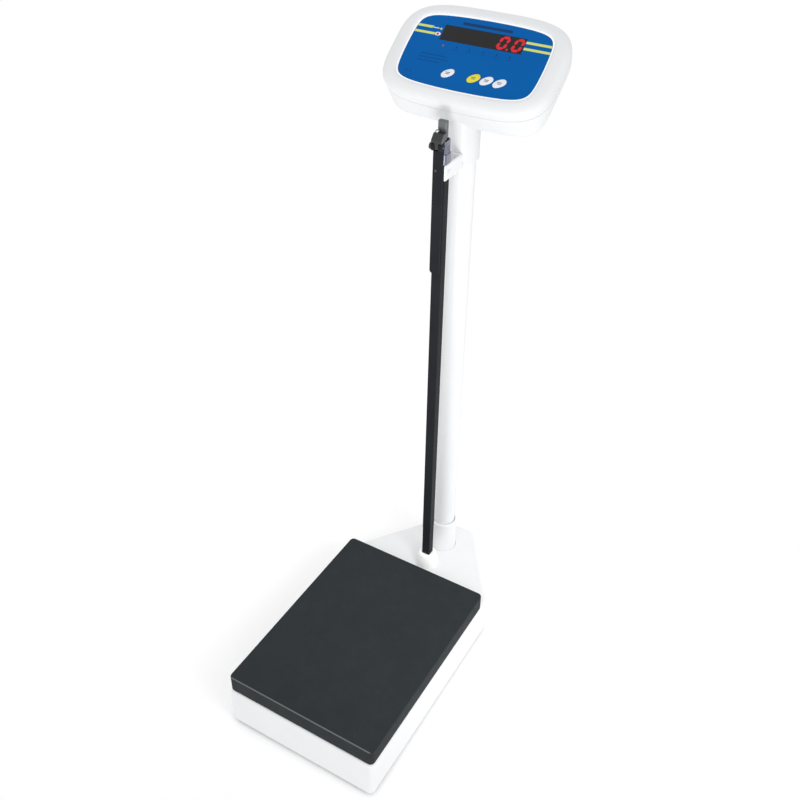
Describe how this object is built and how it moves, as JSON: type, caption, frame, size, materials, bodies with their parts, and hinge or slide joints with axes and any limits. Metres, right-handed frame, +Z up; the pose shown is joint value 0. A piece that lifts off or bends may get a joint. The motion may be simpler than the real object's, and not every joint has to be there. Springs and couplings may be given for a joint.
{
  "type": "physician column scale",
  "caption": "Digital physician scale: low platform with rubber mat, round column, tilted display head and a telescoping height rod with a folding measuring arm.",
  "frame": {"origin": "on the floor, at the middle of the whole scale's width and depth", "axes": "+Z up; +X to the right of someone facing the display; +Y from the platform back to the column"},
  "size_m": [0.281, 0.5868, 1.0595],
  "materials": {
    "white_paint": "satin powder coat",
    "white_plastic": "semi-gloss moulded",
    "ivory_plastic": "moulded",
    "mat_rubber": "fine matt texture",
    "foot_rubber": "matt",
    "black_metal": "satin black coat",
    "black_plastic": "moulded",
    "chrome": "polished",
    "steel": "zinc plated",
    "aluminium": "anodised",
    "overlay_blue": "satin printed film",
    "smoked_lens": "gloss",
    "key_white": "satin",
    "key_yellow": "satin",
    "board_green": "solder mask"
  },
  "bodies": {
    "scale_body": {"base_cover": "white_paint", "battery_pack": "black_plastic", "bracket_screw_left": "white_paint", "bracket_screw_right": "white_paint", "cell_bolt_lower": "steel", "cell_bolt_upper": "steel", "cell_spacer_lower": "steel", "cell_spacer_upper": "steel", "chassis_plate": "steel", "column_bolt_1": "steel", "column_bolt_2": "steel", "column_bolt_3": "steel", "column_bolt_4": "steel", "column_socket": "white_paint", "column_tube": "white_paint", "display_window": "smoked_lens", "head_front_shell": "white_plastic", "head_neck": "white_plastic", "head_rear_shell": "white_plastic", "head_screw_lower_left": "steel", "head_screw_lower_right": "steel", "head_screw_upper_left": "steel", "head_screw_upper_right": "steel", "led_module": "black_plastic", "load_cell": "aluminium", "load_cell_cable": "black_plastic", "main_board": "board_green", "outer_rod": "black_metal", "overlay_film": "overlay_blue", "platform_frame": "steel", "platform_plate": "steel", "power_inlet": "black_plastic", "rod_bracket": "white_paint", "rod_collar": "chrome", "rod_ferrule": "chrome", "rod_foot": "black_plastic", "rod_socket": "ivory_plastic", "rod_socket_nut": "steel", "rubber_mat": "mat_rubber"},
    "middle_stage": {"middle_rod": "black_metal"},
    "inner_stage": {"inner_rod": "aluminium", "rod_head": "aluminium", "arm_hinge_block": "black_metal", "arm_hinge_pin": "black_metal", "hinge_cap_screw": "steel"},
    "arm": {"measuring_arm": "black_metal", "arm_rivet": "steel"},
    "key_power": {"key_power": "key_white"},
    "key_yellow": {"key_yellow": "key_yellow"},
    "key_centre": {"key_centre": "key_white"},
    "key_right": {"key_right": "key_white"},
    "foot_front_left": {"foot_pad_front_left": "foot_rubber", "foot_stud_front_left": "steel"},
    "foot_front_right": {"foot_pad_front_right": "foot_rubber", "foot_stud_front_right": "steel"},
    "foot_rear_left": {"foot_pad_rear_left": "foot_rubber", "foot_stud_rear_left": "steel"},
    "foot_rear_right": {"foot_pad_rear_right": "foot_rubber", "foot_stud_rear_right": "steel"}
  },
  "joints": [
    {"name": "middle_rod_slide", "type": "slide", "parent": "scale_body", "child": "middle_stage", "axis": [0, 0, 1], "range_m": [0, 0.6]},
    {"name": "inner_rod_slide", "type": "slide", "parent": "middle_stage", "child": "inner_stage", "axis": [0, 0, 1], "range_m": [0, 0.59]},
    {"name": "arm_fold", "type": "hinge", "parent": "inner_stage", "child": "arm", "pos_m": [0, 0.1143, 0.916], "axis": [-1, 0, 0], "range_deg": [0, 90]},
    {"name": "key_power_press", "type": "slide", "parent": "scale_body", "child": "key_power", "axis": [0, 0.6018, -0.7986], "range_m": [0, 0.0006], "stiffness_N_per_m": 2500},
    {"name": "key_yellow_press", "type": "slide", "parent": "scale_body", "child": "key_yellow", "axis": [0, 0.6018, -0.7986], "range_m": [0, 0.0006], "stiffness_N_per_m": 2500},
    {"name": "key_centre_press", "type": "slide", "parent": "scale_body", "child": "key_centre", "axis": [0, 0.6018, -0.7986], "range_m": [0, 0.0006], "stiffness_N_per_m": 2500},
    {"name": "key_right_press", "type": "slide", "parent": "scale_body", "child": "key_right", "axis": [0, 0.6018, -0.7986], "range_m": [0, 0.0006], "stiffness_N_per_m": 2500},
    {"name": "foot_front_left_turn", "type": "hinge", "parent": "scale_body", "child": "foot_front_left", "pos_m": [-0.112, -0.2629, 0.01], "axis": [0, 0, 1], "range_deg": [-540, 540]},
    {"name": "foot_front_right_turn", "type": "hinge", "parent": "scale_body", "child": "foot_front_right", "pos_m": [0.112, -0.2629, 0.01], "axis": [0, 0, 1], "range_deg": [-540, 540]},
    {"name": "foot_rear_left_turn", "type": "hinge", "parent": "scale_body", "child": "foot_rear_left", "pos_m": [-0.112, 0.0771, 0.01], "axis": [0, 0, 1], "range_deg": [-540, 540]},
    {"name": "foot_rear_right_turn", "type": "hinge", "parent": "scale_body", "child": "foot_rear_right", "pos_m": [0.112, 0.0771, 0.01], "axis": [0, 0, 1], "range_deg": [-540, 540]}
  ]
}
